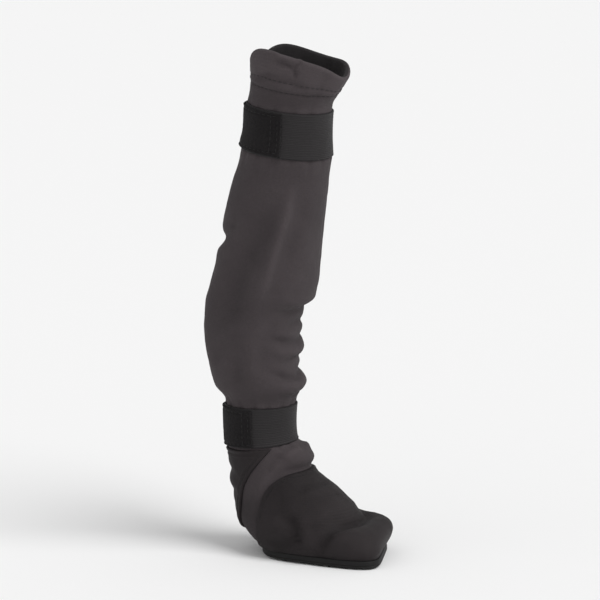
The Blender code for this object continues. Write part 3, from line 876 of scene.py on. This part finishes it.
def edge_angle(field, t, side):
    """The angle at which row t crosses an edge of the gore, on the left (side 1) or the right (-1)."""
    return side * halving(0.0, math.pi, lambda angle: not is_ahead(field, t, side * angle))


def edge_angles(field, rows):
    """The angles at which rows cross an edge of the gore, by (row, side)."""
    return {(row, side): edge_angle(field, row, side) for row in rows for side in (-1, 1)}


def edge_row(field, angle, below, above):
    """The row at which the line up the foot at an angle crosses an edge of the gore."""
    return halving(below, above, lambda t: not is_ahead(field, t, angle))


def edge_tree(places):
    """A search tree of close points along a panel's edge, given as places (t, angle)."""
    points = []
    for (t0, a0), (t1, a1) in zip(places, places[1:]):
        points += [skin(t0 + (t1 - t0) * k / 6, a0 + (a1 - a0) * k / 6) for k in range(6)]
    return search_tree(points)


def panel_rise(distance):
    """How far a panel stands out at a distance in from its turned edge."""
    edge = 1 - min(distance / EDGE_ROUND, 1.0)
    rounded = math.sqrt(1 - edge * edge)
    doubled = DOUBLED * (1 - ease((distance - TURNED_IN) / 1.0))
    line = STITCH_DENT * pressed_line(distance - STITCH_LINE, 0.5)
    return SUNK + (PANEL_RISE - SUNK + doubled) * rounded - line


def close_cloth(piece):
    """Closes a sheet to a thin solid, inwards."""
    wall = piece.modifiers.new("wall", "SOLIDIFY")
    wall.thickness, wall.offset = SHEET_WALL * MM, -1.0


# Plain weave: yarns that pass over and under each other, from a vector in mm
plain_weave, given, puts, do = new_group(
    "plain_weave", {"Cloth": "Vector", "Yarn": 0.6}, {"Height": "Float", "Warp": "Float"}
)
xyz = node(plain_weave, "SeparateXYZ", {0: given["Cloth"]}).outputs
across, along = (do("DIVIDE", xyz[axis], given["Yarn"]) for axis in "XY")
checker = do("PINGPONG", do("ADD", do("FLOOR", across), do("FLOOR", along)), 1.0)
over = do("MULTIPLY", checker, hump(plain_weave, across))
under = do("MULTIPLY", do("SUBTRACT", 1.0, checker), hump(plain_weave, along))
plain_weave.links.new(do("MAXIMUM", over, under), puts["Height"])
plain_weave.links.new(checker, puts["Warp"])


def warp_lit(tree, made, shade, lit):
    """The warp catches a little more light than the weft."""
    return maths(tree, "MULTIPLY_ADD", made["Warp"], 0.10, lit), made["Height"]


black_woven = cloth_material(
    "black_woven", plain_weave, {"Yarn": 0.62},
    ((0.0170, 0.0140, 0.0147, 1), (0.0350, 0.0291, 0.0304, 1), 1.1, 0.3),
    light=(0.35, 0.68), relief=0.00010, finish=(0.62, 0.02, 0.12), adjust=warp_lit,
)


def make_panel(name, columns, rows, tree, place):
    """A woven panel: place(column, row) gives (t, angle), and the tree finds how far off its edge is."""
    def surface(column, row):
        t, angle = place(column, row)
        return cloth(t, angle, panel_rise(tree.find(skin(t, angle))[2]))

    panel = make_piece(name, drape(columns, rows, surface), "black_woven", black_woven)
    close_cloth(panel)
    return panel


VAMP_CORNER = ROW["high vamp"] - 0.15  # where the side edge turns over the instep
vamp_columns = spaced(-1.0, 1.0, 132)
vamp_rows = spaced_rows(PANEL_FOOT, VAMP_CORNER, PANEL_STEP)
vamp_angles = edge_angles("vamp_x", vamp_rows)
vamp_top = {}
for share in vamp_columns:
    angle = abs(share) * vamp_angles[vamp_rows[-1], math.copysign(1, share)]
    vamp_top[share] = (edge_row("vamp_x", angle, VAMP_CORNER, ROW["instep"]), angle)
vamp_edge = [(row, vamp_angles[row, -1]) for row in vamp_rows] + list(vamp_top.values())
vamp_edge += [(row, vamp_angles[row, 1]) for row in reversed(vamp_rows)]
vamp_tree = edge_tree(vamp_edge)


def vamp_place(share, row):
    """(t, angle) on the vamp, where share runs from its right edge, -1, to its left, 1."""
    up = (row - PANEL_FOOT) / (VAMP_CORNER - PANEL_FOOT)
    t = PANEL_FOOT + (vamp_top[share][0] - PANEL_FOOT) * up
    return t, abs(share) * vamp_angles[row, math.copysign(1, share)]


vamp = make_panel("woven_vamp", vamp_columns, vamp_rows, vamp_tree, vamp_place)
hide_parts("vamp")

COUNTER_FOOT = edge_row("counter_x", math.pi, PANEL_FOOT, ROW["toe top"]) + 0.01  # its tip, behind the heel
counter_rows = spaced_rows(COUNTER_FOOT, PANEL_HEAD, PANEL_STEP)
counter_angles = edge_angles("counter_x", counter_rows)
left_edge = [(row, counter_angles[row, 1]) for row in counter_rows]
right_edge = [(row, 2 * math.pi + counter_angles[row, -1]) for row in counter_rows]
counter_head = [(counter_rows[-1], angle) for angle in spaced(left_edge[-1][1], right_edge[-1][1], 60)]
counter_tree = edge_tree(left_edge + counter_head + right_edge[::-1])


def counter_place(share, row):
    """(t, angle) on the counter, where share runs from its left edge, 0, to its right, 1."""
    left, right = counter_angles[row, 1], 2 * math.pi + counter_angles[row, -1]
    return row, left + (right - left) * share


counter = make_panel("woven_heel_counter", spaced(0.0, 1.0, 110), counter_rows, counter_tree, counter_place)
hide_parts("heel_counter")


def inset_route(tree, places, inward, out):
    """A row of stitches STITCH_LINE in from an edge; inward(t, angle, k) moves a place in by k mm."""
    route = []
    for t, angle in places:
        reach = STITCH_LINE
        for _ in range(3):
            inner = inward(t, angle, reach)
            distance = tree.find(skin(*inner))[2]
            reach *= STITCH_LINE / max(distance, 0.3)
        route.append(inward(t, angle, reach))
    return route_on(route, out)


def from_vamp_edge(t, angle, reach):
    """A place moved in from the vamp's edge: down the instep at the front, forward at the sides."""
    steep = ease((t - VAMP_CORNER + 1.5) / 1.5)
    turned = math.copysign(reach / VAMP_RADIUS, angle) * (1 - 0.8 * steep)
    return t - reach / INSTEP_ROW * steep, angle - turned


def from_counter_edge(t, angle, reach):
    return t, angle + math.copysign(reach / COUNTER_RADIUS, math.pi - angle)


panel_thread = bmesh.new()
stitched_out = panel_rise(STITCH_LINE) + ON_CLOTH
sew(panel_thread, inset_route(vamp_tree, vamp_edge, from_vamp_edge, stitched_out))
for places in (left_edge[6:-3], right_edge[6:-3]):
    sew(panel_thread, inset_route(counter_tree, places, from_counter_edge, stitched_out))
make_thread("panel_topstitching", panel_thread, "black_woven", black_thread)

# --- Elastic straps ---
# Two lengths of woven elastic webbing, ribbed along and with a firm edge, one round the ankle and one
# below the collar. Each is drawn tight over the sleeve and closed at the back.

GAP = 0.3  # between one piece and the next
STRAP_WALL = 1.2
RIB_RISE = 0.10
SELVAGE = 1.6  # width of the plain firm edge
STRAP_ROUND = 0.5
STRAP_SWAY, STRAP_SLACK = 0.012, 0.12  # in rows up the leg, and in mm out from it


def strap_width(rows):
    return (skin(rows[1], math.pi) - skin(rows[0], math.pi)).length


def strap_place(rows, across, angle):
    """The row at a share of a strap's width, which wanders a little round the leg."""
    wander = STRAP_SWAY * (0.6 * math.sin(2 * angle + 0.7) + 0.4 * math.sin(5 * angle + 2.0))
    return rows[0] + (rows[1] - rows[0]) * across + wander


def strap_profile(width):
    """Points round a strap's section as (mm across, share of its thickness), outside first."""
    points = []
    for mm in spaced(0.0, width, 84):
        edge = 1 - min(min(mm, width - mm) / STRAP_ROUND, 1.0)
        points.append((mm, 0.5 + 0.5 * math.sqrt(1 - edge * edge)))
    under = [(mm, 1 - share) for mm, share in reversed(points[::7])]
    return points + under[1:]


def ribbed(mm, width, ribs):
    """The relief of the webbing at mm across it."""
    inner = min(mm, width - mm) - SELVAGE
    if inner < 0:
        return RIB_RISE * 1.3 * ease(-inner / 0.3) * ease((SELVAGE + inner) / 0.4)
    return RIB_RISE * abs(math.sin(math.pi * ribs * (mm - SELVAGE) / (width - 2 * SELVAGE))) ** 0.7


def strap_surface(rows, width, ribs, angle, place):
    """A strap's surface at an angle and a place on its profile."""
    mm, share = place
    t = strap_place(rows, mm / width, angle)
    point = skin(t, angle)
    relief = ribbed(mm, width, ribs) if share > 0.5 else 0.0
    slack = STRAP_SLACK * noise.noise(point * 0.12)
    out = GAP + STRAP_WALL * share + relief + slack * share
    return point + normal(t, angle) * out, 0.0


# Ribbed webbing: cords along the strap, crossed by fine picks, from a vector in mm
ribbed_webbing, given, puts, do = new_group(
    "ribbed_webbing", {"Cloth": "Vector", "Cord": 0.9, "Pick": 0.55}, {"Height": "Float"}
)
xyz = node(ribbed_webbing, "SeparateXYZ", {0: given["Cloth"]}).outputs
cord = do("DIVIDE", xyz["Y"], given["Cord"])
pick = do("MULTIPLY_ADD", do("FLOOR", cord), 0.5, do("DIVIDE", xyz["X"], given["Pick"]))
ridge, bead = hump(ribbed_webbing, cord), hump(ribbed_webbing, pick)
ribbed_webbing.links.new(do("MULTIPLY", ridge, do("MULTIPLY_ADD", bead, 0.6, 0.4)), puts["Height"])

black_elastic = cloth_material(
    "black_elastic", ribbed_webbing, {"Cord": 0.85, "Pick": 0.5},
    ((0.0220, 0.0201, 0.0208, 1), (0.0324, 0.0297, 0.0309, 1), 0.8, 0.35),
    light=(0.45, 0.7), relief=0.00012, finish=(0.62, 0.02, 0.15),
)


def make_strap(name, rows, ribs):
    """Webbing round the leg between two rows, with a number of ribs across it."""
    width = strap_width(rows)
    profile = strap_profile(width)
    mesh = drape(
        spaced(0.0, 2 * math.pi, 150), profile + profile[:1],
        lambda angle, place: strap_surface(rows, width, ribs, angle, place),
    )
    strap = make_piece(name + "_elastic_strap", mesh, "black_elastic", black_elastic)
    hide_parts(name + "_strap")


make_strap("ankle", ANKLE_ROWS, ribs=12)
make_strap("top", TOP_ROWS, ribs=14)

# --- Fastener tabs ---
# Black looped pile tape that the strap's hooked end grips, lying over the strap round the back of the
# leg. Its edges are sealed and it is sewn down all round, with a second row across each end.

TAB_WALL = 1.1
TAB_ROUND = 0.6
TAB_INSET = 0.5
SEWN_IN, SEWN_TWICE = 1.8, 4.6  # how far its stitches are from its edges, and the second row at each end
TAB_DENT = 0.4
TAB_UNEVEN = ((0.1, 7.0), (0.8, 3.0))  # how close each unevenness is, and where it is taken from

# Pile: small round loops with a fuzz over them, from a vector in mm
pile_loops, given, puts, do = new_group("pile_loops", {"Cloth": "Vector"}, {"Height": "Float"})
cells = {"Vector": given["Cloth"], "Scale": 1.7, "Randomness": 1.0}
loops = do("SUBTRACT", 1.0, node(pile_loops, "TexVoronoi", cells).outputs["Distance"])
fuzz = cloudy(pile_loops, given["Cloth"], 3.5, 3.0)
pile_loops.links.new(do("MULTIPLY_ADD", fuzz, 0.8, loops), puts["Height"])

black_pile = cloth_material(
    "black_pile", pile_loops, {}, ((0.0105, 0.0094, 0.0099, 1), (0.0180, 0.0163, 0.0170, 1), 1.0, 0.6),
    light=(0.5, 0.5), relief=0.00022, finish=(0.95, 0.04, 0.1),
)


def tab_rise(mm_in):
    """How far a tab stands off the strap at a distance in from its nearest edge."""
    edge = 1 - min(mm_in / TAB_ROUND, 1.0)
    line = TAB_DENT * pressed_line(mm_in - SEWN_IN)
    return GAP + (TAB_WALL - SHEET_WALL) * math.sqrt(1 - edge * edge) - line


def make_tab(name, rows, start, end, radius):
    """A tab between two turns round the leg, whose radius there turns mm into turns."""
    width = strap_width(rows)
    height = width - 2 * TAB_INSET
    span = math.radians(end - start) * radius

    def tab_point(mm_round, mm_up, extra=0.0):
        """A point of the tab at mm round from its first end and mm up from its lower edge."""
        angle = math.radians(start) + mm_round / radius
        t = strap_place(rows, (TAB_INSET + mm_up) / width, angle)
        mm_in = min(mm_round, span - mm_round, mm_up, height - mm_up)
        lift = 0.12
        for close, depth in TAB_UNEVEN:
            lift += 0.10 * noise.noise(Vector((mm_round * close, mm_up * close, depth)))
        out = GAP + STRAP_WALL + lift + tab_rise(max(mm_in, 0.0)) + extra
        return skin(t, angle) + normal(t, angle) * out, normal(t, angle)

    mesh = drape(
        spaced(0.0, span, 100), spaced(0.0, height, 42),
        lambda mm_round, mm_up: (tab_point(mm_round, mm_up)[0], 0.0),
    )
    tab = make_piece(name + "_fastener_tab", mesh, "black_pile", black_pile)
    close_cloth(tab)
    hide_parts(name + "_tab")
    for mm_up in (SEWN_IN, height - SEWN_IN):
        sew(tab_thread, [tab_point(mm, mm_up, ON_CLOTH) for mm in spaced(SEWN_IN, span - SEWN_IN, 60)])
    for mm_round in (SEWN_IN, SEWN_TWICE, span - SEWN_IN, span - SEWN_TWICE):
        sew(tab_thread, [tab_point(mm_round, mm, ON_CLOTH) for mm in spaced(SEWN_IN, height - SEWN_IN, 16)])


tab_thread = bmesh.new()
make_tab("ankle", ANKLE_ROWS, start=95.0, end=276.0, radius=18.5)
make_tab("top", TOP_ROWS, start=92.0, end=281.0, radius=20.5)
make_thread("tab_stitching", tab_thread, "black_pile", black_thread)

# --- Sole ---
# Moulded rubber a little wider than the foot, flat but for its heel, which curls up. A groove runs round
# its wall, a lip holds the foot of the panels, and low wavy bars underneath give it grip.

SOLE_THICKNESS, SOLE_WELT, SOLE_ROUND = 3.0, 0.8, 0.9
PAD_MIDDLE = 45.0  # x
TREAD_DEPTH = 0.7
FIRST_BAR, LAST_BAR, BAR_WIDTH = 22.4, 77.4, 3.2
BAR_EDGE = 1.8  # from the sole's edge to the ends of the bars
BAR_WAVE, BAR_WAVELENGTH = 0.9, 11.0
BAR_TAPER, BAR_SHORTER = 0.86, 0.985  # shares of its width and length that a bar keeps at the ground
LIP_RISE, LIP_FROM, LIP_TO = 1.3, 0.2, 1.2  # a lip along the edge that holds the foot of the panels


def sole_outline(angle, out):
    """The sleeve's outline under the foot moved out by out, level with the floor."""
    point, away = skin(0.0, angle), normal(0.0, angle)
    away = Vector((away.x, away.y, 0)).normalized()
    return Vector((point.x, point.y, 0)) + away * out, sole_lift(point.x)


def pad_surface(out, base, angle, place):
    """A pad's surface at a place on its section: (mm in from its edge, mm up, share towards its middle)."""
    mm_in, mm_up, share = place
    edge, lift = sole_outline(angle, out - mm_in)
    centre = Vector((PAD_MIDDLE + (edge.x - PAD_MIDDLE) * 0.25, 0, 0))
    point = edge.lerp(centre, share)
    return Vector((point.x, point.y, base + mm_up + lift * (1 - share) + sole_lift(point.x) * share)), 0.0


def rounded_wall(thickness, rounding, groove):
    """(mm in, mm up) up the wall of a pad, with round corners and a groove at its middle."""
    turns = spaced(0.0, math.pi / 2, 5)
    places = [(rounding * (1 - math.sin(turn)), rounding * (1 - math.cos(turn))) for turn in turns]
    for up in spaced(rounding, thickness - rounding, 8)[1:-1]:
        places.append((groove * pressed_line(up - thickness / 2, 0.25), up))
    places += [(mm_in, thickness - up) for mm_in, up in reversed(places[:6])]
    return places


def pad_places(thickness, rounding, groove, lip=0.0):
    """Places on a pad's section, from the middle of its underside round its wall to the middle above."""
    wall = rounded_wall(thickness, rounding, groove)
    if lip:
        wall = wall[:-4] + [
            (LIP_FROM, thickness), (LIP_FROM, thickness + 0.7 * lip), (LIP_FROM + 0.25, thickness + lip),
            (LIP_TO - 0.25, thickness + lip), (LIP_TO, thickness + 0.7 * lip), (LIP_TO, thickness),
        ]
    shares = spaced(0.0, 1.0, 20)[1:]
    under = [(wall[0][0], 0.0, share) for share in reversed(shares)]
    top = [(wall[-1][0], thickness, share) for share in shares]
    return under + [(*place, 0.0) for place in wall] + top


SOLE_OUT = GAP + PANEL_WALL + SOLE_WELT
sole_mesh = drape(
    spaced(0.0, 2 * math.pi, 150),
    pad_places(SOLE_THICKNESS - TREAD_DEPTH, SOLE_ROUND - 0.3, 0.3, LIP_RISE),
    lambda angle, place: pad_surface(SOLE_OUT, TREAD_DEPTH, angle, place),
)


def half_width_at(x):
    """Half the sole's width where the middle of its breadth is at x."""
    def edges(angle):
        return [sole_outline(side * angle, SOLE_OUT)[0] for side in (1, -1)]

    def is_behind(angle):
        return sum(edge.x for edge in edges(angle)) <= 2 * x

    left, right = edges(halving(0.05, math.pi - 0.05, is_behind))
    return (left.y - right.y) / 2


for x in spaced(FIRST_BAR, LAST_BAR, 11):
    half = min(half_width_at(x - 2.6), half_width_at(x + 2.6)) - BAR_EDGE
    bar = bmesh.ops.create_grid(sole_mesh, x_segments=1, y_segments=28, size=0.5)["verts"]
    faces = {face for vert in bar for face in vert.link_faces}
    deep = bmesh.ops.extrude_face_region(sole_mesh, geom=list(faces))
    lower = {item for item in deep["geom"] if isinstance(item, bmesh.types.BMVert)}
    for vert in set(bar) | lower:
        across = 2 * half * vert.co.y
        wave = BAR_WAVE * math.sin(across * 2 * math.pi / BAR_WAVELENGTH)
        taper, shorter, level = (BAR_TAPER, BAR_SHORTER, 0.0) if vert in lower else (1, 1, TREAD_DEPTH + 0.3)
        point_x = x + wave + BAR_WIDTH * vert.co.x * taper
        point_x -= toe_skew(point_x, SOLE_THICKNESS) * across
        vert.co = Vector((point_x - HEEL_TO_ORIGIN, across * shorter, level + sole_lift(point_x))) * MM
bmesh.ops.recalc_face_normals(sole_mesh, faces=sole_mesh.faces)

# Moulded rubber: a fine spark-eroded grain, scuffed paler in patches, most where it meets the ground
black_rubber, tree, shader = new_material("black_rubber", roughness=0.6, specular=0.22)
where = node(tree, "TexCoord").outputs["Object"]
grain = cloudy(tree, where, 2600.0, 2.0)
scuff = cloudy(tree, where, 120.0, 5.0, 0.7)
scuff = node(tree, "MapRange", {"Value": scuff, "From Min": 0.52, "From Max": 0.72}).outputs["Result"]
height = node(tree, "SeparateXYZ", {0: where}).outputs["Z"]
ramp = {"Value": height, "From Min": 0.0022, "From Max": 0.0, "To Max": 0.8}
worn = maths(tree, "ADD", node(tree, "MapRange", ramp).outputs["Result"], 0.25)
worn = maths(tree, "MULTIPLY", worn, scuff)
colour = blend(tree, worn, (0.0085, 0.0080, 0.0082, 1), (0.034, 0.032, 0.031, 1))
tree.links.new(colour, shader.inputs["Base Color"])
tree.links.new(maths(tree, "MULTIPLY_ADD", scuff, 0.2, 0.6), shader.inputs["Roughness"])
raise_up(tree, shader, maths(tree, "MULTIPLY_ADD", scuff, 0.5, grain), 0.00004)
sole = make_piece("rubber_sole", sole_mesh, "black_rubber", black_rubber)
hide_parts("sole")

# --- Insole ---
# A thin foam footbed covered with brushed tricot, laid in loose on the sole. It shows only from above,
# down the shaft.

INSOLE_THICKNESS, INSOLE_ROUND = 1.5, 0.3
insole_mesh = drape(
    spaced(0.0, 2 * math.pi, 120),
    pad_places(INSOLE_THICKNESS, INSOLE_ROUND, 0.0),
    lambda angle, place: pad_surface(-SLEEVE_WALL - 2 * GAP, SOLE_THICKNESS + GAP, angle, place),
)
footbed_lining = knit_material(
    "footbed_lining", (0.036, 0.033, 0.034, 1), (0.062, 0.058, 0.059, 1), wale=0.7, course=0.6, roughness=0.9
)
insole = make_piece("footbed", insole_mesh, "footbed_lining", footbed_lining)
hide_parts("insole")
